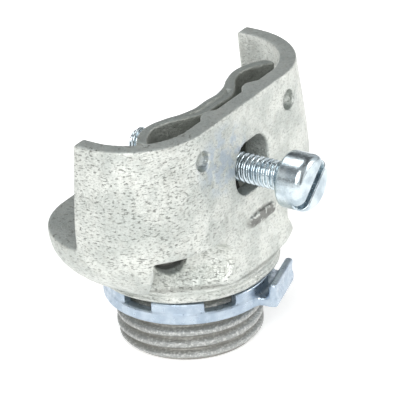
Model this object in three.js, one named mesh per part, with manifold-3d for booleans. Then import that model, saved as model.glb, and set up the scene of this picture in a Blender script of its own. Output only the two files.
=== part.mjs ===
// Duplex squeeze connector for two flexible conduits (millimetres, +Z up).
// z = 0 is the open rim of the threaded nipple and Z is the nipple axis.
// X runs along the long side of the oval body, and -Y is the side with the screw head.
import * as THREE from 'three';
import { mergeVertices } from 'three/addons/utils/BufferGeometryUtils.js';
import Module from 'manifold-3d';

const wasm = await Module();
wasm.setup();

// ---- driving dimensions ----
const NIPPLE_R = 10.4;           // outside radius over the thread crests, 1/2 in trade size
const THREAD_PITCH = 25.4 / 14;
const THREAD_DEPTH = 0.95;
const BORE_R = 8.1;
const SHOULDER_Z = 11;           // underside of the neck, where the nipple starts
const SHELF_Z = 22.3;            // top of the bowl behind the wall
const TOP_Z = 37.85;             // top of the C-shaped wall
const DRAFT = Math.tan(THREE.MathUtils.degToRad(3.5));
const WALL = 2.4;                // casting wall thickness
const NECK_WALL = 2.1;
const TOP_HALF_LENGTH = 21.65;
const TOP_FRONT_Y = -10.9;
const BOWL_BACK_Y = 12.3;
const CORNER_R = 10.7;           // the oval's end corners at the top
const HOOK_END_Y = 2.6;          // where the two ends of the C stop
const NECK_HALF_LENGTH = 13.4;
const NECK_HALF_DEPTH = 12.8;
const FLOOR_Z = 13.6;            // floor of the bowl inside
const LEDGE_HALF_LENGTH = 17;    // opening in the ledge that the conduits stop on
const LEDGE_FRONT_Y = -8;
const LEDGE_BACK_Y = 9.9;
const POCKET_DISTANCE = 10.5;    // pocket faces under the wall, from the nipple axis
const POCKET_ROOF_Z = 17.6;
const POCKET_TURN = THREE.MathUtils.degToRad(41);
const COLUMN_HALF_WIDTH = 7.4;   // the neck's plain front, between the two pockets
const RIB_R = 2;                 // ribs inside the wall beside the screw
const RIB_PEAK_Y = -7.5;
const HOLE_HALF_WIDTH = 4.15;
const HOLE_Z = [24.7, 32.2];
const DIMPLE_X = 10.85;
const DIMPLE_Z = 33.8;
const SCREW_Z = 28;
const SCREW_R = 2.08;            // No. 8-32 machine screw
const SCREW_LENGTH = 25.4;
const SCREW_PITCH = 0.794;
const HEAD_R = 4.05;
const HEAD_HEIGHT = 4.2;
const HEAD_ROUNDING = 1.3;
const HEAD_SEAT_Y = -17.65;      // underside of the screw head
const SADDLE_TOP_Z = 37.2;
const SADDLE_BOTTOM_Z = 22.9;
const SADDLE_LEAN = THREE.MathUtils.degToRad(2);   // loose on the screw, left end up
const NUT_BOTTOM_Z = 7.05;
const NUT_TOP_Z = 9.5;
const NUT_R = 12.1;
const LUG_R = 14.4;
const LUG_TOP_Z = 10.65;
const LUG_THICKNESS = 1.3;
const LUG_HALF_WIDTH = 4.4;
const LUG_TURNS = [286, 46].map(THREE.MathUtils.degToRad);
const GAP = 0.3;                 // clearance where two pieces meet

// ---- helpers ----
const mirror = [-1, 1];

function solid(geometry) {
  const bare = geometry.clone();
  bare.deleteAttribute('normal');
  bare.deleteAttribute('uv');
  const merged = mergeVertices(bare, 1e-5);
  return new wasm.Manifold(new wasm.Mesh({
    numProp: 3,
    vertProperties: new Float32Array(merged.attributes.position.array),
    triVerts: new Uint32Array(merged.index.array),
  }));
}

function toGeometry(manifold) {
  const mesh = manifold.simplify(0.01).getMesh();
  const geometry = new THREE.BufferGeometry();
  geometry.setAttribute('position', new THREE.BufferAttribute(mesh.vertProperties, 3));
  geometry.setIndex(new THREE.BufferAttribute(mesh.triVerts, 1));
  geometry.computeVertexNormals();
  return geometry;
}

function union(solids) {
  return solids.reduce((sum, next) => sum.add(next));
}

function prism(points, z0, z1) {
  const geometry = new THREE.ExtrudeGeometry(new THREE.Shape(points), {
    depth: z1 - z0, bevelEnabled: false, curveSegments: 8,
  });
  return geometry.translate(0, 0, z0);
}

// A turned solid about +Z from [radius, z] pairs.
function turned(profile, segments = 48) {
  const points = profile.map(([r, z]) => new THREE.Vector2(r, z));
  return new THREE.LatheGeometry(points, segments).rotateX(Math.PI / 2);
}

// One level of the oval: a rounded rectangle with the same number of points at any size.
function ovalRing(halfLength, frontY, backY, radius, z, steps = 9) {
  const r = Math.min(radius, halfLength, (backY - frontY) / 2);
  const corners = [
    [halfLength - r, frontY + r, -90], [halfLength - r, backY - r, 0],
    [r - halfLength, backY - r, 90], [r - halfLength, frontY + r, 180],
  ];
  return corners.flatMap(([cx, cy, from]) => Array.from({ length: steps }, (_, i) => {
    const angle = THREE.MathUtils.degToRad(from + 90 * (i + 0.001) / (steps - 0.998));
    return new THREE.Vector3(cx + r * Math.cos(angle), cy + r * Math.sin(angle), z);
  }));
}

// A closed solid through a stack of rings that go upwards.
function loft(rings) {
  const n = rings[0].length;
  const index = [];
  for (let level = 0; level < rings.length - 1; level++) {
    for (let i = 0; i < n; i++) {
      const a = level * n + i;
      const b = level * n + (i + 1) % n;
      index.push(a, b, b + n, a, b + n, a + n);
    }
  }
  const top = (rings.length - 1) * n;
  const outline = rings[0].map((p) => new THREE.Vector2(p.x, p.y));
  for (const [a, b, c] of THREE.ShapeUtils.triangulateShape(outline, [])) {
    index.push(a, c, b, top + a, top + b, top + c);
  }
  const geometry = new THREE.BufferGeometry().setFromPoints(rings.flat());
  geometry.setIndex(index);
  return geometry;
}

function interpolate(table, z) {
  const next = table.findIndex(([level]) => level >= z);
  if (next < 0) return table.at(-1)[1];
  if (next === 0) return table[0][1];
  const [[z0, v0], [z1, v1]] = [table[next - 1], table[next]];
  return v0 + (v1 - v0) * (z - z0) / (z1 - z0);
}

// ---- body casting ----
const wallHalfLength = (z) => TOP_HALF_LENGTH + (TOP_Z - z) * DRAFT;
const wallFrontY = (z) => TOP_FRONT_Y - (TOP_Z - z) * DRAFT;

// The half length of the bowl grows quickly above the neck.
const bowlLengths = [
  [SHOULDER_Z, NECK_HALF_LENGTH], [13.2, 14], [13.5, 15.6], [14.5, 17.2], [16, 19.1],
  [17.5, 20.6], [19, 21.7], [SHELF_Z, wallHalfLength(SHELF_Z)],
];

function bowlRing(z, inset = 0) {
  const rise = (z - SHOULDER_Z) / (SHELF_Z - SHOULDER_Z);
  const back = THREE.MathUtils.lerp(NECK_HALF_DEPTH, BOWL_BACK_Y, rise);
  const front = THREE.MathUtils.lerp(-NECK_HALF_DEPTH, wallFrontY(SHELF_Z), rise);
  return ovalRing(interpolate(bowlLengths, z) - inset, front + inset, back - inset,
    CORNER_R + 0.7 - inset, z);
}

function wallRing(z, inset = 0, backY = BOWL_BACK_Y) {
  return ovalRing(wallHalfLength(z) - inset, wallFrontY(z) + inset, backY - inset,
    CORNER_R + 0.7 - inset, z);
}

function bodyOuter() {
  const bowl = solid(loft(bowlLengths.map(([z]) => bowlRing(z))));
  const wall = solid(loft([wallRing(SHELF_Z - 0.01), wallRing(TOP_Z)]));
  const behind = 30;
  const aboveShelf = solid(prism([
    new THREE.Vector2(-behind, HOOK_END_Y), new THREE.Vector2(behind, HOOK_END_Y),
    new THREE.Vector2(behind, behind), new THREE.Vector2(-behind, behind),
  ], SHELF_Z, TOP_Z + 1));
  return union([bowl, wall]).subtract(aboveShelf);
}

// A prism along the pocket face on one side, from an outline of [distance from axis, z] points.
function alongFace(side, outline, halfWidth, shift = 0) {
  const points = outline.map(([d, z]) => new THREE.Vector2(d, z));
  const geometry = prism(points, -halfWidth, halfWidth);
  geometry.rotateX(Math.PI / 2).rotateZ(-Math.PI / 2).translate(side * shift, 0, 0);
  return solid(geometry.rotateZ(side * POCKET_TURN));
}

// The casting steps back under the wall, on both sides of a plain column.
function pocket(side) {
  const reach = 26;
  const outline = [
    [NECK_HALF_DEPTH, SHOULDER_Z - 1], [reach, SHOULDER_Z - 1], [reach, 26],
    [15.4, 21.4], [POCKET_DISTANCE, POCKET_ROOF_Z], [POCKET_DISTANCE, 16], [NECK_HALF_DEPTH, 12.6],
  ];
  const halfWidth = 12;
  const column = new THREE.BoxGeometry(2 * COLUMN_HALF_WIDTH, 60, 60);
  return alongFace(side, outline, halfWidth).subtract(solid(column));
}

function bodyCavity() {
  const upper = solid(loft([wallRing(SHELF_Z, WALL), wallRing(TOP_Z + 1, WALL)]));
  const ledge = (z, halfLength) => ovalRing(halfLength, LEDGE_FRONT_Y, LEDGE_BACK_Y, 8, z);
  const lower = solid(loft([
    ledge(FLOOR_Z, 11), ledge(16, 15), ledge(18.5, LEDGE_HALF_LENGTH),
    ledge(SHELF_Z + 0.01, LEDGE_HALF_LENGTH),
  ]));
  const inner = POCKET_DISTANCE - NECK_WALL;
  const outline = [[inner, 0], [30, 0], [30, 30], [inner + 8.1, 25], [inner, POCKET_ROOF_Z + WALL]];
  return upper.add(lower.subtract(union(mirror.map((side) => alongFace(side, outline, 14)))));
}

// The slot through each pocket face, just under the wall.
function slot(side) {
  const outline = [
    [POCKET_DISTANCE - 4, 15.5], [POCKET_DISTANCE + 4, 15.5],
    [POCKET_DISTANCE + 4, 17.5], [POCKET_DISTANCE - 4, 17.5],
  ];
  return alongFace(side, outline, 2.2, 5.1);
}

// Two rounded ribs inside the wall, on each side of the screw.
function innerRibs() {
  return union(mirror.map((side) => {
    const rib = new THREE.CylinderGeometry(RIB_R, RIB_R, TOP_Z - SHELF_Z, 20);
    rib.rotateX(Math.PI / 2).translate(side * 5.2, RIB_PEAK_Y - RIB_R, (TOP_Z + SHELF_Z) / 2);
    return solid(rib);
  })).intersect(solid(loft([wallRing(SHELF_Z - 1, 0.5), wallRing(TOP_Z, 0.5)])));
}

// Clearance hole for the screw, a little taller than the screw needs.
function screwHole() {
  const ring = ovalRing(HOLE_HALF_WIDTH, ...HOLE_Z, 3.4, 0);
  const geometry = prism(ring.map((p) => new THREE.Vector2(p.x, p.y)), 0, 8);
  return solid(geometry.rotateX(Math.PI / 2).translate(0.35, -6, 0));
}

function dimple(side) {
  const cone = new THREE.ConeGeometry(1.6, 3.2, 20);
  return solid(cone.translate(side * DIMPLE_X, TOP_FRONT_Y, DIMPLE_Z));
}

function nipple() {
  const root = NIPPLE_R - THREAD_DEPTH;
  const profile = [[0, 0], [root, 0], [root + 0.1, 0.3]];
  for (let z = 0.6; z < SHOULDER_Z - 1.2; z += THREAD_PITCH) {
    profile.push([root, z], [NIPPLE_R, z + 0.62], [NIPPLE_R, z + 1.02], [root, z + 1.64]);
  }
  profile.push([root, SHOULDER_Z + 1], [0, SHOULDER_Z + 1]);
  return solid(turned(profile, 56));
}

function bodyCasting() {
  const bore = solid(turned([[0, -1], [BORE_R, -1], [BORE_R, FLOOR_Z + 0.5], [0, FLOOR_Z + 0.5]]));
  const pockets = mirror.map(pocket);
  return union([bodyOuter().subtract(union(pockets)).subtract(bodyCavity()), innerRibs()])
    .add(nipple())
    .subtract(union([bore, screwHole(), ...mirror.map(dimple), ...mirror.map(slot)]));
}

// ---- clamp saddle ----
// Half of the strap in plan, from the screw outwards: [x, y of the centre line, thickness].
const saddleLine = [
  [3.6, -5.3, 2.3], [5.6, -4.6, 1.8], [8.2, -3.2, 1.3], [10.8, -2.6, 1.2], [13.4, -3.1, 1.4],
  [16.3, -4.7, 1.6],
];
const SADDLE_BOSS_R = 4;

function saddleOutline() {
  const point = ([x, y, thickness], side) => new THREE.Vector3(side * x, y, thickness / 2);
  const line = new THREE.CatmullRomCurve3([
    ...saddleLine.map((row) => point(row, -1)).reverse(), ...saddleLine.map((row) => point(row, 1)),
  ]).getPoints(44);
  const offset = (sign) => line.map((p, i) => {
    const along = line[Math.min(i + 1, line.length - 1)].clone().sub(line[Math.max(i - 1, 0)]);
    const reach = sign * p.z / Math.hypot(along.x, along.y);
    return new THREE.Vector2(p.x - along.y * reach, p.y + along.x * reach);
  });
  return [...offset(-1), ...offset(1).reverse()];
}

function clampSaddle() {
  const strap = solid(prism(saddleOutline(), SADDLE_BOTTOM_Z, SADDLE_TOP_Z - 0.5));
  const boss = new THREE.CylinderGeometry(SADDLE_BOSS_R, SADDLE_BOSS_R, 3.2, 28);
  boss.translate(0, saddleLine[0][1] + 0.45, SCREW_Z);
  const bore = new THREE.CylinderGeometry(SCREW_R + GAP, SCREW_R + GAP, 12, 28);
  bore.translate(0, saddleLine[0][1], SCREW_Z);
  const upright = strap.add(solid(boss)).subtract(solid(bore));
  return toGeometry(upright).translate(0, 0, -SCREW_Z).rotateY(SADDLE_LEAN)
    .translate(0, 0, SCREW_Z);
}

// ---- clamp screw ----
// Turned along +Y from the head's outer face, then the slot is cut across it.
function clampScrew() {
  const headFace = -HEAD_HEIGHT;
  const root = SCREW_R - 0.42;
  const flat = HEAD_R - HEAD_ROUNDING;
  const edge = [0, 0.35, 0.7, 1].map((part) => [
    flat + HEAD_ROUNDING * Math.sin(part * Math.PI / 2),
    headFace + HEAD_ROUNDING * (1 - Math.cos(part * Math.PI / 2)),
  ]);
  const profile = [[0, headFace], ...edge, [HEAD_R, -0.25], [HEAD_R - 0.25, 0], [SCREW_R, 0]];
  for (let y = 0.5; y < SCREW_LENGTH - 1.4; y += SCREW_PITCH) {
    profile.push([SCREW_R, y], [root, y + 0.38]);
  }
  profile.push([SCREW_R, SCREW_LENGTH - 0.9], [root, SCREW_LENGTH], [0, SCREW_LENGTH]);
  const points = profile.map(([r, y]) => new THREE.Vector2(r, y));
  const shank = solid(new THREE.LatheGeometry(points, 28));
  const slotCut = new THREE.BoxGeometry(10, 3.2, 1.25).translate(0, headFace, 0);
  return toGeometry(shank.subtract(solid(slotCut.rotateY(THREE.MathUtils.degToRad(-40)))));
}

// ---- locknut ----
// A stamped ring with two lugs that reach out and turn up.
function locknut() {
  const ring = turned([
    [0, NUT_BOTTOM_Z], [NUT_R - 0.3, NUT_BOTTOM_Z], [NUT_R, NUT_BOTTOM_Z + 0.3],
    [NUT_R, NUT_TOP_Z - 0.3], [NUT_R - 0.3, NUT_TOP_Z], [0, NUT_TOP_Z],
  ]);
  const lugs = LUG_TURNS.flatMap((turn) => {
    const reach = LUG_R - NUT_R + 1;
    const floor = new THREE.BoxGeometry(reach, 2 * LUG_HALF_WIDTH, 1.4);
    floor.translate(LUG_R - reach / 2, 0, NUT_BOTTOM_Z + 0.8);
    const height = LUG_TOP_Z - NUT_BOTTOM_Z - 0.1;
    const upright = new THREE.BoxGeometry(LUG_THICKNESS, 2 * LUG_HALF_WIDTH, height);
    upright.translate(LUG_R - LUG_THICKNESS / 2, 0, LUG_TOP_Z - height / 2);
    return [solid(floor.rotateZ(turn)), solid(upright.rotateZ(turn))];
  });
  const hole = solid(turned([[0, 5], [NIPPLE_R + GAP, 5], [NIPPLE_R + GAP, 12], [0, 12]], 56));
  return toGeometry(union([solid(ring), ...lugs]).subtract(hole));
}

// ---- assembly ----
const finish = (color, roughness, metalness) => new THREE.MeshStandardMaterial({
  color, roughness, metalness,
});
const castZinc = finish(0xdcdcd2, 0.55, 0.6);
const brightZinc = finish(0xc9d4dc, 0.25, 0.95);
const blueZinc = finish(0xc4d6e4, 0.35, 0.8);

function piece(name, geometry, material) {
  const mesh = new THREE.Mesh(geometry, material);
  mesh.name = name;
  return mesh;
}

const connector = new THREE.Group();
connector.add(piece('body_casting', toGeometry(bodyCasting()), castZinc));
connector.add(piece('clamp_saddle', clampSaddle(), castZinc));
const screw = piece('clamp_screw', clampScrew(), brightZinc);
screw.position.set(0, HEAD_SEAT_Y, SCREW_Z);
connector.add(screw);
connector.add(piece('locknut', locknut(), blueZinc));

export default connector;
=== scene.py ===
import math

import bpy
import numpy as np
from mathutils import Matrix, Vector


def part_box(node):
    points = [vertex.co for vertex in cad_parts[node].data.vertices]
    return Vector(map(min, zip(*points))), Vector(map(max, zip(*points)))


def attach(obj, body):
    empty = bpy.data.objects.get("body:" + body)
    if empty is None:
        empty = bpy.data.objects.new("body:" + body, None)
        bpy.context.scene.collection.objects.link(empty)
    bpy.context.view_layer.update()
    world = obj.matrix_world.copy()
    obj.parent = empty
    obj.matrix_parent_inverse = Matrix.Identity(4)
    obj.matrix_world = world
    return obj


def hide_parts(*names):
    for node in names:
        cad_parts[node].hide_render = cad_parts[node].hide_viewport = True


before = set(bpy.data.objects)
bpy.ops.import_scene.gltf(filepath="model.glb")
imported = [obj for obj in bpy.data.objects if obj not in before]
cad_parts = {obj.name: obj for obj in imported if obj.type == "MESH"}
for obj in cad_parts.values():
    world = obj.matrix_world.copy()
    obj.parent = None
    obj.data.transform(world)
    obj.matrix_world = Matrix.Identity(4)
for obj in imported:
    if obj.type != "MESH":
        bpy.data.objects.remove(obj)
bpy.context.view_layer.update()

# Duplex squeeze connector. Shapes are signed distance fields in millimetres, turned into
# quad meshes in metres. Z is the nipple's axis, -Y the side with the screw head.
MM = 0.001


def node_box(node):
    low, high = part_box(node)
    return np.array(low) / MM, np.array(high) / MM


BODY_LOW, BODY_HIGH = node_box("body_casting")
SADDLE_LOW, SADDLE_HIGH = node_box("clamp_saddle")
SCREW_LOW, SCREW_HIGH = node_box("clamp_screw")
NUT_LOW, NUT_HIGH = node_box("locknut")

# ---- sizes in millimetres, as the CAD has them except for the pockets' higher roof ----
TOP_Z = BODY_HIGH[2]
SHELF_Z = 22.3
SHOULDER_Z = 11.0
DRAFT = math.tan(math.radians(3.5))
WALL = 2.4
TOP_HALF_LENGTH = BODY_HIGH[0] - (TOP_Z - SHELF_Z) * DRAFT
TOP_FRONT_Y = -10.9
BOWL_BACK_Y = BODY_HIGH[1]
CORNER_R = 11.4
HOOK_END_Y = 2.6
NECK_HALF_LENGTH = 13.4
NECK_HALF_DEPTH = 12.8
COLLAR_TOP_Z = 13.5
COLLAR_HALF_LENGTH = 14.2
FLOOR_Z = 13.6
LEDGE_FRONT_Y = -8.0
LEDGE_BACK_Y = 9.9
LEDGE_CORNER_R = 8.0
NIPPLE_R = 10.4
THREAD_PITCH = 25.4 / 14
THREAD_DEPTH = 0.95
BORE_R = 8.1
POCKET_DISTANCE = 10.5
POCKET_ROOF_Z = 19.7
POCKET_END = 9.4
NECK_WALL = 2.1
RIB_X = 5.2
RIB_R = 2.0
RIB_PEAK_Y = -7.5
POCKET_TURN = math.radians(41)
SCREW_R = 2.08
SCREW_PITCH = 0.794
SCREW_THREAD_DEPTH = 0.42
SCREW_LENGTH = 25.4
SCREW_Z = (SCREW_LOW[2] + SCREW_HIGH[2]) / 2
HEAD_R = (SCREW_HIGH[0] - SCREW_LOW[0]) / 2
HEAD_HEIGHT = 4.2
HEAD_ROUNDING = 1.3
HEAD_FACE_Y = SCREW_LOW[1]
HEAD_SEAT_Y = HEAD_FACE_Y + HEAD_HEIGHT


# ---- field helpers ----
def smooth_min(a, b, k):
    h = np.maximum(k - np.abs(a - b), 0) / k
    return np.minimum(a, b) - h * h * k / 4


def smooth_max(a, b, k):
    return -smooth_min(-a, -b, k)


def rounded_rect(x, y, half_x, low_y, high_y, radius):
    """Distance to a rounded rectangle centred on x = 0; its sizes may vary from point to point."""
    mid = (low_y + high_y) / 2
    half_y = (high_y - low_y) / 2
    r = np.minimum(np.minimum(radius, half_x), half_y)
    qx = np.abs(x) - half_x + r
    qy = np.abs(y - mid) - half_y + r
    outside = np.hypot(np.maximum(qx, 0), np.maximum(qy, 0))
    return outside + np.minimum(np.maximum(qx, qy), 0) - r


def ease(table, z):
    """A smooth curve through (z, value) pairs, flat beyond its ends."""
    levels, values = np.array(table, float).T
    slopes = np.gradient(values, levels)
    i = np.clip(np.searchsorted(levels, z) - 1, 0, len(levels) - 2)
    span = levels[i + 1] - levels[i]
    t = np.clip((z - levels[i]) / span, 0, 1)
    return ((2 * t**3 - 3 * t**2 + 1) * values[i] + (t**3 - 2 * t**2 + t) * span * slopes[i]
            + (3 * t**2 - 2 * t**3) * values[i + 1] + (t**3 - t**2) * span * slopes[i + 1])


# ---- field to mesh ----
COARSE = 4


def sample(field, axes, cell):
    """The field at every grid point near its surface; elsewhere only the right sign."""
    grid = np.meshgrid(*[a[::COARSE] for a in axes], indexing="ij")
    coarse = field(*grid)
    near = np.abs(coarse) < cell * COARSE * 1.7
    blocks = np.zeros([n - 1 for n in coarse.shape], bool)
    for dx in (0, 1):
        for dy in (0, 1):
            for dz in (0, 1):
                blocks |= near[dx:dx + blocks.shape[0], dy:dy + blocks.shape[1],
                               dz:dz + blocks.shape[2]]
    shape = [len(a) for a in axes]
    mask = np.zeros(shape, bool)
    sign = np.ones(shape, np.float32)
    fine = np.ones((COARSE,) * 3, bool)
    mask[:-1, :-1, :-1] = np.kron(blocks, fine)
    sign[:-1, :-1, :-1] = np.kron(np.sign(coarse[:-1, :-1, :-1]), fine)
    mask[1:] |= mask[:-1]
    mask[:, 1:] |= mask[:, :-1]
    mask[:, :, 1:] |= mask[:, :, :-1]
    i, j, k = np.nonzero(mask)
    values = sign * cell
    values[i, j, k] = field(axes[0][i], axes[1][j], axes[2][k])
    return values


def gradient(field, points, step=0.02):
    result = np.empty_like(points)
    for axis in range(3):
        shift = np.zeros(3)
        shift[axis] = step
        ahead = field(*(points + shift).T)
        behind = field(*(points - shift).T)
        result[:, axis] = (ahead - behind) / (2 * step)
    return result


def project(field, points, cell, rounds):
    """Moves points onto the field's zero surface."""
    for _ in range(rounds):
        slope = gradient(field, points)
        size = np.maximum((slope**2).sum(1), 0.05)
        step = -(field(*points.T) / size)[:, None] * slope
        length = np.linalg.norm(step, axis=1, keepdims=True)
        points = points + step * np.minimum(1, 0.6 * cell / np.maximum(length, 1e-9))
    return points


def relax(points, quads):
    """Moves each point halfway to the mean of the points it shares an edge with."""
    total = np.zeros_like(points)
    count = np.zeros(len(points))
    for a, b in ((0, 1), (1, 2), (2, 3), (3, 0)):
        for here, there in ((a, b), (b, a)):
            for axis in range(3):
                total[:, axis] += np.bincount(quads[:, here], points[quads[:, there], axis],
                                              len(points))
            count += np.bincount(quads[:, here], minlength=len(points))
    return (points + total / np.maximum(count, 1)[:, None]) / 2


def surface_net(field, low, high, cell):
    """Vertices, in mm, and quads of the field's zero surface, one vertex per mixed cell."""
    axes = []
    for a, b in zip(low, high):
        blocks = math.ceil((b - a + 3 * cell) / (cell * COARSE))
        start = (a + b) / 2 - blocks * COARSE * cell / 2
        axes.append(start + cell * np.arange(blocks * COARSE + 1))
    values = sample(field, axes, cell)
    inside = values < 0
    count = np.zeros([n - 1 for n in values.shape], np.int8)
    corners = [(dx, dy, dz) for dx in (0, 1) for dy in (0, 1) for dz in (0, 1)]
    for dx, dy, dz in corners:
        count += inside[dx:dx + count.shape[0], dy:dy + count.shape[1], dz:dz + count.shape[2]]
    cells = np.argwhere((count > 0) & (count < 8))
    ids = np.full(count.shape, -1, np.int64)
    ids[tuple(cells.T)] = np.arange(len(cells))
    at = {c: values[tuple((cells + c).T)] for c in corners}
    total = np.zeros((len(cells), 3))
    crossings = np.zeros(len(cells))
    for c in corners:
        for axis in range(3):
            if c[axis]:
                continue
            d = tuple(v + (i == axis) for i, v in enumerate(c))
            mixed = (at[c] < 0) != (at[d] < 0)
            t = np.where(mixed, at[c] / np.where(mixed, at[c] - at[d], 1), 0)
            place = np.array(c, float) * np.ones((len(cells), 1))
            place[:, axis] = t
            total += place * mixed[:, None]
            crossings += mixed
    points = cells + total / crossings[:, None]
    points = points * cell + np.array([a[0] for a in axes])
    quads = []
    for axis in range(3):
        u, v = (axis + 1) % 3, (axis + 2) % 3
        first = np.moveaxis(inside, axis, 0)
        change = np.moveaxis(first[1:] != first[:-1], 0, axis)
        edge = np.argwhere(change)
        du, dv = np.eye(3, dtype=int)[[u, v]]
        ring = [ids[tuple((edge - s).T)] for s in (du + dv, dv, 0 * du, du)]
        ring = np.stack(ring, 1)
        outward = inside[tuple(edge.T)]
        ring[~outward] = ring[~outward][:, ::-1]
        quads.append(ring)
    quads = np.concatenate(quads)
    points = project(field, points, cell, 2)
    for _ in range(2):
        points = project(field, relax(points, quads), cell, 2)
    return points, quads


def make_object(name, points, faces, material):
    """A smooth mesh object from points in mm."""
    mesh = bpy.data.meshes.new(name)
    mesh.from_pydata((points * MM).tolist(), [], faces.tolist())
    mesh.update()
    mesh.shade_smooth()
    obj = bpy.data.objects.new(name, mesh)
    bpy.context.scene.collection.objects.link(obj)
    mesh.materials.append(material)
    return obj


def field_object(name, field, low, high, cell, material):
    return make_object(name, *surface_net(field, low, high, cell), material)


# ---- body casting ----
HALF_LENGTHS = [(13.2, 15.0), (14.5, 17.2), (16, 19.1), (17.5, 20.6), (19, 21.7), (21, 22.45),
                (SHELF_Z, BODY_HIGH[0] - 0.02), (TOP_Z, TOP_HALF_LENGTH)]
FRONTS = [(SHOULDER_Z, -NECK_HALF_DEPTH), (SHELF_Z, TOP_FRONT_Y - (TOP_Z - SHELF_Z) * DRAFT),
          (TOP_Z, TOP_FRONT_Y)]
COLLAR_LENGTHS = [(SHOULDER_Z, NECK_HALF_LENGTH), (COLLAR_TOP_Z, COLLAR_HALF_LENGTH)]
LEDGE_LENGTHS = [(FLOOR_Z, 11), (16, 15), (18.5, 17)]
POCKET_FACES = [(12.6, NECK_HALF_DEPTH), (16, POCKET_DISTANCE)]
COLUMN_WIDTHS = [(14.3, 7.4), (17, 5.6), (20.5, 4.6)]
BAR_X = 1.2             # a plain raised bar under the screw hole
BAR_Z = 20.5
BAR_HALF_LENGTH = 3.2
BAR_HEIGHT = 0.45
HOLE_X = 0.35           # the screw's clearance hole leans towards +X as it rises
HOLE_LEAN = 0.12
HOLE_HALF_WIDTH = 4.15
HOLE_LOW_Z = 24.7
HOLE_HIGH_Z = 32.2
HOLE_CORNER_R = 3.2
SLOT_ALONG = 5.2        # slot's place along the pocket face
SLOT_Z = 17.4
SLOT_R = 2.35
SLOT_REACH = 4.0
GROOVE_Z = SHOULDER_Z + 1.15
GROOVE_R = 0.42
DIMPLE_X = 10.85
DIMPLE_Z = 33.8
DIMPLE_BOTTOM_Y = -8.7
DIMPLE_R = 1.45


def line(table, z):
    levels, values = zip(*table)
    return np.interp(z, levels, values)


def oval(x, y, z, inset=0.0):
    return rounded_rect(x, y, ease(HALF_LENGTHS, z) - inset, line(FRONTS, z) + inset,
                        BOWL_BACK_Y - inset, CORNER_R - inset)


def thread(x, y, z, crest, depth, pitch, start, end):
    """A right-hand thread with rounded crests about +Z that fades in at each end."""
    radius = np.hypot(x, y)
    turns = z / pitch - np.arctan2(y, x) / (2 * math.pi)
    wave = 0.5 + 0.5 * np.cos(2 * math.pi * turns)
    wave = np.clip(1.25 * wave, 0, 1)
    fade = np.clip((z - start) / pitch, 0, 1) * np.clip((end - z) / pitch, 0, 1)
    surface = crest - depth + depth * wave * np.clip(1.5 * fade, 0, 1)
    return (radius - surface) * 0.75


def outside_field(x, y, z, face, along):
    """The bowl, the wall, the collar and the two pockets under the wall."""
    bowl = smooth_max(oval(x, y, z), COLLAR_TOP_Z - z, 0.35)
    collar = rounded_rect(x, y, line(COLLAR_LENGTHS, z), line(FRONTS, z), NECK_HALF_DEPTH,
                          NECK_HALF_DEPTH)
    neck = smooth_max(collar, z - COLLAR_TOP_Z - 1, 0.3)
    neck = smooth_max(neck, SHOULDER_Z - z, 0.7)
    groove = np.hypot(collar, z - GROOVE_Z) - GROOVE_R
    neck = smooth_max(neck, -groove, 0.3)
    body = smooth_max(smooth_min(bowl, neck, 0.4), z - TOP_Z, 0.35)
    bar = smooth_max(np.abs(x - BAR_X) - BAR_HALF_LENGTH, np.abs(z - BAR_Z) - 0.75, 0.5)
    bar = smooth_max(bar, line(FRONTS, z) - BAR_HEIGHT - y, 0.3)
    body = smooth_min(body, smooth_max(bar, y + 10, 0.1), 0.4)
    behind = smooth_max(HOOK_END_Y - y, SHELF_Z - z, 0.8)
    body = smooth_max(body, -behind, 0.45)
    roof = z - POCKET_ROOF_Z - 0.18 * (face - POCKET_DISTANCE)
    pocket = smooth_max(line(POCKET_FACES, z) - face, roof, 0.8)
    column = line(COLUMN_WIDTHS, z) + 2.4 * np.clip(x / 4, 0, 1)
    pocket = smooth_max(pocket, (column - np.abs(x)) * 0.8, 5.0)
    pocket = smooth_max(pocket, np.where(z > COLLAR_TOP_Z, along - POCKET_END, -1), 0.5)
    return smooth_max(body, -pocket, 0.8)


def cavity_field(x, y, z, face):
    upper = smooth_max(oval(x, y, z, WALL), SHELF_Z - z, 0.3)
    lower = rounded_rect(x, y, line(LEDGE_LENGTHS, z), LEDGE_FRONT_Y, LEDGE_BACK_Y,
                         LEDGE_CORNER_R)
    lower = smooth_max(lower, FLOOR_Z - z, 1.2)
    rise = np.maximum(z - POCKET_ROOF_Z - NECK_WALL, 0)
    lower = smooth_max(lower, face - (POCKET_DISTANCE - NECK_WALL) - 1.5 * rise, 0.8)
    lower = smooth_max(lower, z - SHELF_Z - 0.5, 0.1)
    ribs = np.hypot(np.abs(x) - RIB_X, y - RIB_PEAK_Y + RIB_R) - RIB_R
    return smooth_min(smooth_max(upper, -ribs, 0.7), lower, 0.3)


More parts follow.
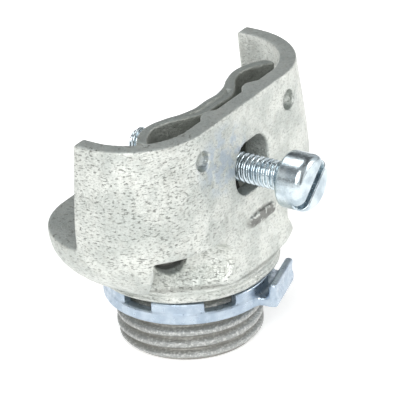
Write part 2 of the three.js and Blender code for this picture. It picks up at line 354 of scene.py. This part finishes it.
def casting_field(x, y, z):
    face = np.abs(x) * math.sin(POCKET_TURN) - y * math.cos(POCKET_TURN)
    along = np.abs(x) * math.cos(POCKET_TURN) + y * math.sin(POCKET_TURN)
    body = smooth_max(outside_field(x, y, z, face, along), -cavity_field(x, y, z, face), 0.3)
    nipple = smooth_max(thread(x, y, z, NIPPLE_R, THREAD_DEPTH, THREAD_PITCH, 0, SHOULDER_Z - 0.6),
                        z - SHOULDER_Z - 1, 0.3)
    nipple = smooth_max(nipple, -z, 0.4)
    body = smooth_min(body, nipple, 0.4)
    bore = smooth_max(np.hypot(x, y) - BORE_R, z - FLOOR_Z - 1, 0.3)
    body = smooth_max(body, -bore, 0.6)
    hole_x = HOLE_X + HOLE_LEAN * (z - SCREW_Z)
    hole = rounded_rect(x - hole_x, z, HOLE_HALF_WIDTH, HOLE_LOW_Z, HOLE_HIGH_Z, HOLE_CORNER_R)
    body = smooth_max(body, -smooth_max(hole, y + 6, 0.2), 0.25)
    spot = np.hypot(np.abs(x) - DIMPLE_X, z - DIMPLE_Z)
    dimple = smooth_max(spot - DIMPLE_R, (spot + y - DIMPLE_BOTTOM_Y) * 0.7, 0.3)
    body = smooth_max(body, -dimple, 0.2)
    # Slots through the pocket faces: flat on top and round below.
    slot = np.hypot(along - SLOT_ALONG, np.minimum(z - SLOT_Z, 0) * 1.15) - SLOT_R
    slot = smooth_max(slot, z - POCKET_ROOF_Z + 0.2, 0.3)
    slot = smooth_max(slot, np.abs(face - POCKET_DISTANCE) - SLOT_REACH, 0.2)
    return smooth_max(body, -slot, 0.3)


# ---- clamp saddle ----
SADDLE_LEAN = math.radians(2)
SADDLE_LINE = [(0, -5.3), (3.6, -5.3), (5.6, -4.6), (8.2, -3.25), (10.8, -2.6), (13.4, -3.1),
               (16.3, -4.7)]
SADDLE_HALVES = [(3.6, 1.15), (5.6, 0.9), (8.2, 0.65), (10.8, 0.6), (13.4, 0.7), (16.3, 0.8)]
SADDLE_TOP = 8.7
SADDLE_BOTTOM = -5.1
SADDLE_HALF_LENGTH = 16.2
SADDLE_BOSS_R = 4.0
SADDLE_BOSS_Y = -4.8
SADDLE_BOSS_HALF = 1.6
SADDLE_BORE_R = SCREW_R - 0.1   # a little inside the screw's crests


def saddle_field(x, y, z):
    c, s = math.cos(SADDLE_LEAN), math.sin(SADDLE_LEAN)
    u = x * c - (z - SCREW_Z) * s
    w = x * s + (z - SCREW_Z) * c
    centre = ease(SADDLE_LINE, np.abs(u))
    slope = (ease(SADDLE_LINE, np.abs(u) + 0.05) - ease(SADDLE_LINE, np.abs(u) - 0.05)) / 0.1
    across = (y - centre) / np.sqrt(1 + slope**2)
    strap = np.abs(across) - line(SADDLE_HALVES, np.abs(u))
    strap = smooth_max(strap, np.abs(u) - SADDLE_HALF_LENGTH, 0.5)
    strap = smooth_max(strap, w - SADDLE_TOP, 0.4)
    strap = smooth_max(strap, SADDLE_BOTTOM - w, 0.6)
    # A shallow groove along the thick middle of the top edge.
    groove = smooth_max(np.hypot(across + 0.1, w - SADDLE_TOP) - 0.4, np.abs(u) - 4.8, 0.5)
    strap = smooth_max(strap, -groove, 0.25)
    boss = smooth_max(np.hypot(u, w) - SADDLE_BOSS_R, np.abs(y - SADDLE_BOSS_Y) - SADDLE_BOSS_HALF,
                      0.5)
    strap = smooth_min(strap, boss, 0.8)
    return smooth_max(strap, SADDLE_BORE_R - np.hypot(u, w), 0.3)


# ---- clamp screw ----
SLOT_TURN = math.radians(40)
SLOT_HALF_WIDTH = 0.62
SLOT_DEPTH = 1.6


def screw_field(x, y, z):
    w = z - SCREW_Z
    shank = thread(w, x, y - HEAD_SEAT_Y, SCREW_R, SCREW_THREAD_DEPTH, SCREW_PITCH, 0,
                   SCREW_LENGTH)
    shank = smooth_max(shank, y - SCREW_HIGH[1], 0.5)
    out = np.hypot(x, w) - HEAD_R + HEAD_ROUNDING
    up = HEAD_FACE_Y + HEAD_ROUNDING - y
    head = np.hypot(np.maximum(out, 0), np.maximum(up, 0)) + np.minimum(np.maximum(out, up), 0)
    head = smooth_max(head - HEAD_ROUNDING, y - HEAD_SEAT_Y, 0.4)
    across = w * math.cos(SLOT_TURN) - x * math.sin(SLOT_TURN)
    slot = smooth_max(np.abs(across) - SLOT_HALF_WIDTH, y - HEAD_FACE_Y - SLOT_DEPTH, 0.15)
    head = smooth_max(head, -slot, 0.2)
    shank = smooth_max(shank, HEAD_SEAT_Y - 1 - y, 0.2)
    return smooth_min(head, shank, 0.25)


# ---- locknut ----
NUT_R = 12.1
RING_Z = 7.95           # middle and half height of the ring, the tabs and the upright lugs
RING_HALF = 0.9
TAB_Z = 9.1
TAB_HALF_HEIGHT = 1.15
TAB_INSET = 0.15
LUG_FLOOR_Z = 7.85
LUG_FLOOR_HALF = 0.7
LUG_Z = 9.0
LUG_HALF_HEIGHT = 1.7
LUG_HALF_THICKNESS = 0.6
LUG_LEAN = 0.12
TAB_COUNT = 6
TAB_CENTRE = math.radians(206)
TAB_HALF = math.radians(18.5)
LUG_TURNS = (math.radians(286), math.radians(46))
LUG_HALF_WIDTH = 4.4
LUG_R = 14.3


def locknut_field(x, y, z):
    radius = np.hypot(x, y)
    ring = smooth_max(radius - NUT_R, np.abs(z - RING_Z) - RING_HALF, 0.4)
    pitch = 2 * math.pi / TAB_COUNT
    turn = (np.arctan2(y, x) - TAB_CENTRE + pitch / 2) % pitch - pitch / 2
    tabs = smooth_max(radius - NUT_R + TAB_INSET, np.abs(z - TAB_Z) - TAB_HALF_HEIGHT, 0.3)
    tabs = smooth_max(tabs, (np.abs(turn) - TAB_HALF) * radius, 0.2)
    nut = smooth_min(ring, tabs, 0.12)
    # Two lugs reach out and turn up.
    for turn in LUG_TURNS:
        u = x * math.cos(turn) + y * math.sin(turn)
        v = np.abs(y * math.cos(turn) - x * math.sin(turn)) - LUG_HALF_WIDTH
        floor = smooth_max(np.abs(z - LUG_FLOOR_Z) - LUG_FLOOR_HALF, u - LUG_R, 0.5)
        floor = smooth_max(floor, 10.5 - u, 0.2)
        sheet = np.abs(u - LUG_R + 0.75 - LUG_LEAN * (z - LUG_Z)) - LUG_HALF_THICKNESS
        upright = smooth_max(sheet, np.abs(z - LUG_Z) - LUG_HALF_HEIGHT, 0.5)
        lug = smooth_max(smooth_min(floor, upright, 0.6), v, 0.6)
        nut = smooth_min(nut, lug, 0.4)
    return smooth_max(nut, NIPPLE_R + 0.1 - radius, 0.4)


# ---- materials ----
class Nodes:
    """Builds one Principled material out of procedural textures."""

    def __init__(self, name, colour, metallic, roughness):
        self.material = bpy.data.materials.new(name)
        self.material.use_nodes = True
        self.tree = self.material.node_tree
        self.shader = self.tree.nodes["Principled BSDF"]
        self.shader.inputs["Base Color"].default_value = (*colour, 1)
        self.shader.inputs["Metallic"].default_value = metallic
        self.shader.inputs["Roughness"].default_value = roughness
        place = self.add("ShaderNodeTexCoord").outputs["Object"]
        scale = self.add("ShaderNodeVectorMath", operation="SCALE")
        scale.inputs["Scale"].default_value = 1 / MM
        self.link(place, scale.inputs[0])
        self.place = scale.outputs["Vector"]
        split = self.add("ShaderNodeSeparateXYZ")
        self.link(self.place, split.inputs[0])
        self.x, self.y, self.z = split.outputs

    def add(self, kind, **settings):
        node = self.tree.nodes.new(kind)
        for key, value in settings.items():
            setattr(node, key, value)
        return node

    def link(self, source, target):
        self.tree.links.new(source, target)

    def noise(self, scale, detail=2.0, stretch=(1, 1, 1)):
        """Noise with a feature size of about 1 / scale millimetres."""
        stretched = self.add("ShaderNodeVectorMath", operation="MULTIPLY")
        stretched.inputs[1].default_value = stretch
        self.link(self.place, stretched.inputs[0])
        node = self.add("ShaderNodeTexNoise")
        node.inputs["Scale"].default_value = scale
        node.inputs["Detail"].default_value = detail
        self.link(stretched.outputs[0], node.inputs["Vector"])
        return node.outputs["Fac"]

    def ramp(self, value, start, end, low=0.0, high=1.0):
        node = self.add("ShaderNodeMapRange", interpolation_type="SMOOTHSTEP")
        for key, number in (("From Min", start), ("From Max", end), ("To Min", low),
                            ("To Max", high)):
            node.inputs[key].default_value = number
        self.link(value, node.inputs["Value"])
        return node.outputs["Result"]

    def maths(self, a, b, operation="MULTIPLY"):
        node = self.add("ShaderNodeMath", operation=operation)
        for source, target in ((a, node.inputs[0]), (b, node.inputs[1])):
            if isinstance(source, (int, float)):
                target.default_value = source
            else:
                self.link(source, target)
        return node.outputs[0]

    def reach(self, *axes):
        """1 on an ellipse given by (coordinate, centre, half size) rows, less inside it."""
        squares = []
        for place, centre, half in axes:
            part = self.maths(self.maths(place, -centre, "ADD"), 1 / half)
            squares.append(self.maths(part, part))
        return self.maths(*squares, "ADD")

    def mix(self, factor, a, b):
        """Blends colours; a and b are sockets or plain colours."""
        node = self.add("ShaderNodeMix", data_type="RGBA")
        self.link(factor, node.inputs["Factor"])
        for source, target in ((a, node.inputs[6]), (b, node.inputs[7])):
            if isinstance(source, tuple):
                target.default_value = (*source, 1)
            else:
                self.link(source, target)
        return node.outputs[2]

    def bump(self, height, strength, distance):
        node = self.add("ShaderNodeBump")
        node.inputs["Strength"].default_value = strength
        node.inputs["Distance"].default_value = distance * MM
        self.link(height, node.inputs["Height"])
        self.link(node.outputs[0], self.shader.inputs["Normal"])

    def up(self):
        """How far the surface faces upwards."""
        normal = self.add("ShaderNodeNewGeometry").outputs["Normal"]
        split = self.add("ShaderNodeSeparateXYZ")
        self.link(normal, split.inputs[0])
        return split.outputs[2]


def cast_metal(name, light, dark, pits):
    """Die-cast zinc: mottled, pitted, and painted darker on the faces that look up, as shade."""
    n = Nodes(name, light, 0.75, 0.42)
    colour = n.mix(n.ramp(n.noise(0.25, 4), 0.35, 0.68), light, dark)
    fine = n.ramp(n.noise(2.6, 4, (1, 1, 1.7)), 0.48, 0.72, 0, 0.6)
    colour = n.mix(fine, colour, tuple(0.55 * part for part in dark))
    # Painted shade: faces that look up are darkened towards grey-green, standing in for the dark
    # reflection from above.
    colour = n.mix(n.ramp(n.up(), 0.55, 0.95, 0, 0.62), colour, (0.31, 0.35, 0.345))
    stain = n.ramp(n.noise(0.8, 5), 0.45, 0.75, 0, 0.3)
    colour = n.mix(stain, colour, (0.42, 0.42, 0.38))
    fleck = n.ramp(n.noise(2.3, 3, (0.75, 0.75, 2.2)), 0.57, 0.68)
    where = n.ramp(n.x, 2, -18, pits / 3, pits)
    fleck = n.maths(fleck, where)
    colour = n.mix(fleck, colour, (0.22, 0.23, 0.21))
    n.link(n.ramp(n.noise(1.1, 4), 0.3, 0.7, 0.38, 0.56), n.shader.inputs["Roughness"])
    grain = n.maths(n.noise(3.0, 5), n.maths(fleck, 0.9), "SUBTRACT")
    n.bump(grain, 0.7, 0.2)
    return n, colour


def body_metal():
    n, colour = cast_metal("cast_zinc", (0.71, 0.73, 0.69), (0.53, 0.56, 0.53), 0.85)
    # A bluish rub on the front wall between one dimple and the screw hole.
    front = n.ramp(n.y, -9.5, -10.5)
    reach = n.reach((n.x, -6, 6.25), (n.z, 32, 5))
    rub = n.maths(n.ramp(reach, 1.3, 0.2, 0, 0.6), n.ramp(n.noise(0.7, 4), 0.4, 0.6))
    rub = n.maths(rub, front)
    colour = n.mix(rub, colour, (0.42, 0.50, 0.60))
    # The threaded nipple is a darker grey with lighter specks, and painted shade darkens it in the
    # thread's roots.
    below = n.ramp(n.z, SHOULDER_Z - 0.1, SHOULDER_Z - 0.6)
    speck = n.ramp(n.noise(2.8, 4), 0.45, 0.65)
    nipple = n.mix(speck, (0.38, 0.39, 0.38), (0.60, 0.61, 0.59))
    spread = n.maths(n.maths(n.maths(n.x, n.x), n.maths(n.y, n.y), "ADD"), 0.5, "POWER")
    # Painted shade in the thread's roots, darkest at the smallest radius.
    painted_root_shade = n.ramp(spread, NIPPLE_R - 0.2, NIPPLE_R - THREAD_DEPTH, 0, 0.65)
    nipple = n.mix(painted_root_shade, nipple, (0.26, 0.25, 0.22))
    colour = n.mix(below, colour, nipple)
    # Painted shade: a dark line in the step above the collar, so its edge shows.
    step = n.maths(n.ramp(n.z, 12.9, 13.3), n.ramp(n.z, 13.9, 13.5, 0, 0.5))
    colour = n.mix(step, colour, (0.16, 0.16, 0.14))
    # A darker patch, broken up by noise, around the raised bar on the front wall.
    reach = n.reach((n.x, BAR_X, BAR_HALF_LENGTH), (n.z, BAR_Z, 1))
    bar_dark_patch = n.maths(n.ramp(reach, 1.7, 0.7, 0, 0.85), n.ramp(n.noise(1.4, 4), 0.36, 0.5))
    bar_dark_patch = n.maths(bar_dark_patch, front)
    colour = n.mix(bar_dark_patch, colour, (0.14, 0.14, 0.13))
    # Painted shade: the casting's inside, behind the slots, is coloured near black.
    face = n.maths(n.maths(n.x, 0, "ABSOLUTE"), math.sin(POCKET_TURN))
    face = n.maths(face, n.maths(n.y, math.cos(POCKET_TURN)), "SUBTRACT")
    dark = n.maths(n.ramp(face, 10.2, 9.4), n.ramp(n.z, 20.5, 19))
    dark = n.maths(dark, n.ramp(n.z, 12.5, 13.5, 0, 0.85))
    dark = n.maths(dark, n.ramp(n.y, -9.8, -9.2))
    dark = n.maths(dark, n.ramp(n.reach((n.x, 0, 15.8), (n.y, 0, 10.6)), 1, 0.94))
    colour = n.mix(dark, colour, (0.05, 0.05, 0.045))
    n.link(colour, n.shader.inputs["Base Color"])
    return n.material


def saddle_metal():
    # Painted shade: the body's zinc in darker copies of its colours, for the shade the saddle sits
    # in.
    n, colour = cast_metal("cast_zinc_saddle", (0.46, 0.48, 0.45), (0.32, 0.34, 0.31), 0.7)
    n.link(colour, n.shader.inputs["Base Color"])
    return n.material


def plated_metal(name, light, dark, roughness, grain):
    """Zinc-plated steel with faint cloudiness and fine scratches."""
    n = Nodes(name, light, 0.95, roughness)
    colour = n.mix(n.ramp(n.noise(0.5, 4), 0.35, 0.65), light, dark)
    n.link(colour, n.shader.inputs["Base Color"])
    n.link(n.ramp(n.noise(1.6, 4), 0.3, 0.7, roughness * 0.7, roughness * 1.4),
           n.shader.inputs["Roughness"])
    n.bump(n.noise(2.0, 3, (1, 1, 2)), grain, 0.1)
    return n.material


CAST = body_metal()
SADDLE = saddle_metal()
BRIGHT = plated_metal("bright_zinc", (0.66, 0.74, 0.78), (0.44, 0.52, 0.57), 0.2, 0.15)
BLUE = plated_metal("blue_zinc", (0.50, 0.58, 0.66), (0.38, 0.46, 0.55), 0.34, 0.2)

# ---- pieces: a margin round each node's box and a grid cell, both in millimetres ----
MARGIN = 0.4
WIDE_MARGIN = 1
FINE = 0.25
SADDLE_CELL = 0.2
SCREW_CELL = 0.14
NUT_CELL = 0.2
casting = field_object("casting", casting_field, BODY_LOW - MARGIN, BODY_HIGH + MARGIN, FINE, CAST)
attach(casting, "body")
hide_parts("body_casting")
saddle = field_object("saddle", saddle_field, SADDLE_LOW - WIDE_MARGIN,
                      SADDLE_HIGH + WIDE_MARGIN, SADDLE_CELL, SADDLE)
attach(saddle, "saddle")
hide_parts("clamp_saddle")
screw = field_object("screw", screw_field, SCREW_LOW - MARGIN, SCREW_HIGH + MARGIN, SCREW_CELL,
                     BRIGHT)
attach(screw, "screw")
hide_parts("clamp_screw")
nut = field_object("nut", locknut_field, NUT_LOW - WIDE_MARGIN, NUT_HIGH + WIDE_MARGIN, NUT_CELL,
                   BLUE)
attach(nut, "nut")
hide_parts("locknut")


# ---- camera, floor and light ----
VIEW_AZIMUTH = math.radians(-55.48)
VIEW_ELEVATION = math.radians(27.03)
VIEW_ROLL = math.radians(3.15)
VIEW_DISTANCE = 512.1 * MM
FOCAL = 329
AIM = Vector((0, 0, 18 * MM))
AIM_RIGHT = 2.12 * MM
AIM_DOWN = 2.17 * MM


def add_camera():
    back = Vector((math.sin(VIEW_AZIMUTH) * math.cos(VIEW_ELEVATION),
                   -math.cos(VIEW_AZIMUTH) * math.cos(VIEW_ELEVATION), math.sin(VIEW_ELEVATION)))
    right = Vector((math.cos(VIEW_AZIMUTH), math.sin(VIEW_AZIMUTH), 0))
    up = back.cross(right)
    c, s = math.cos(VIEW_ROLL), math.sin(VIEW_ROLL)
    image_right = right * c - up * s
    image_up = up * c + right * s
    aim = AIM + image_right * AIM_RIGHT + image_up * AIM_DOWN
    data = bpy.data.cameras.new("camera")
    data.sensor_width = 36
    data.lens = FOCAL
    data.clip_start = 0.01
    data.clip_end = 10
    camera = bpy.data.objects.new("camera", data)
    frame_axes = Matrix((image_right, image_up, back)).transposed().to_4x4()
    camera.matrix_world = Matrix.Translation(aim + back * VIEW_DISTANCE) @ frame_axes
    bpy.context.scene.collection.objects.link(camera)
    bpy.context.scene.camera = camera


def add_floor():
    bpy.ops.mesh.primitive_plane_add(size=6)
    floor = bpy.context.object
    floor.name = "floor"
    paper = Nodes("floor", (0.95, 0.95, 0.95), 0, 0.9)
    paper.shader.inputs["Emission Color"].default_value = (1, 1, 1, 1)
    paper.shader.inputs["Emission Strength"].default_value = 0.42
    floor.data.materials.append(paper.material)


def add_area_light(name, place, size, power):
    data = bpy.data.lights.new(name, "AREA")
    data.shape = "DISK"
    data.size = size
    data.energy = power
    light = bpy.data.objects.new(name, data)
    light.location = place
    light.rotation_euler = (AIM - Vector(place)).to_track_quat("-Z", "Y").to_euler()
    bpy.context.scene.collection.objects.link(light)


def add_world():
    """A white studio that is brightest at the horizon, so upright faces shine."""
    world = bpy.data.worlds.new("world")
    bpy.context.scene.world = world
    world.use_nodes = True
    tree = world.node_tree
    split = tree.nodes.new("ShaderNodeSeparateXYZ")
    tree.links.new(tree.nodes.new("ShaderNodeTexCoord").outputs["Generated"], split.inputs[0])
    height = tree.nodes.new("ShaderNodeMapRange")
    for key, number in (("From Min", 0.15), ("From Max", 0.8), ("To Min", 0.92),
                        ("To Max", 0.38)):
        height.inputs[key].default_value = number
    tree.links.new(split.outputs[2], height.inputs["Value"])
    # Soft darker areas give the plated metal something to reflect.
    clouds = tree.nodes.new("ShaderNodeTexNoise")
    clouds.inputs["Scale"].default_value = 2.2
    clouds.inputs["Detail"].default_value = 1
    shade = tree.nodes.new("ShaderNodeMapRange")
    for key, number in (("From Min", 0.42), ("From Max", 0.58), ("To Min", 0.2), ("To Max", 1.15)):
        shade.inputs[key].default_value = number
    tree.links.new(clouds.outputs["Fac"], shade.inputs["Value"])
    product = tree.nodes.new("ShaderNodeMath")
    product.operation = "MULTIPLY"
    tree.links.new(height.outputs[0], product.inputs[0])
    tree.links.new(shade.outputs[0], product.inputs[1])
    tree.links.new(product.outputs[0], tree.nodes["Background"].inputs["Strength"])
    tree.nodes["Background"].inputs["Color"].default_value = (1, 1, 1, 1)


add_camera()
add_floor()
add_area_light("key", (-0.55, -0.25, 0.5), 0.6, 4)
add_area_light("side", (0.45, -0.65, 0.35), 0.4, 1.6)
add_area_light("top", (0.1, 0.3, 0.9), 0.6, 2)
add_world()
bpy.context.scene.view_settings.view_transform = "Standard"
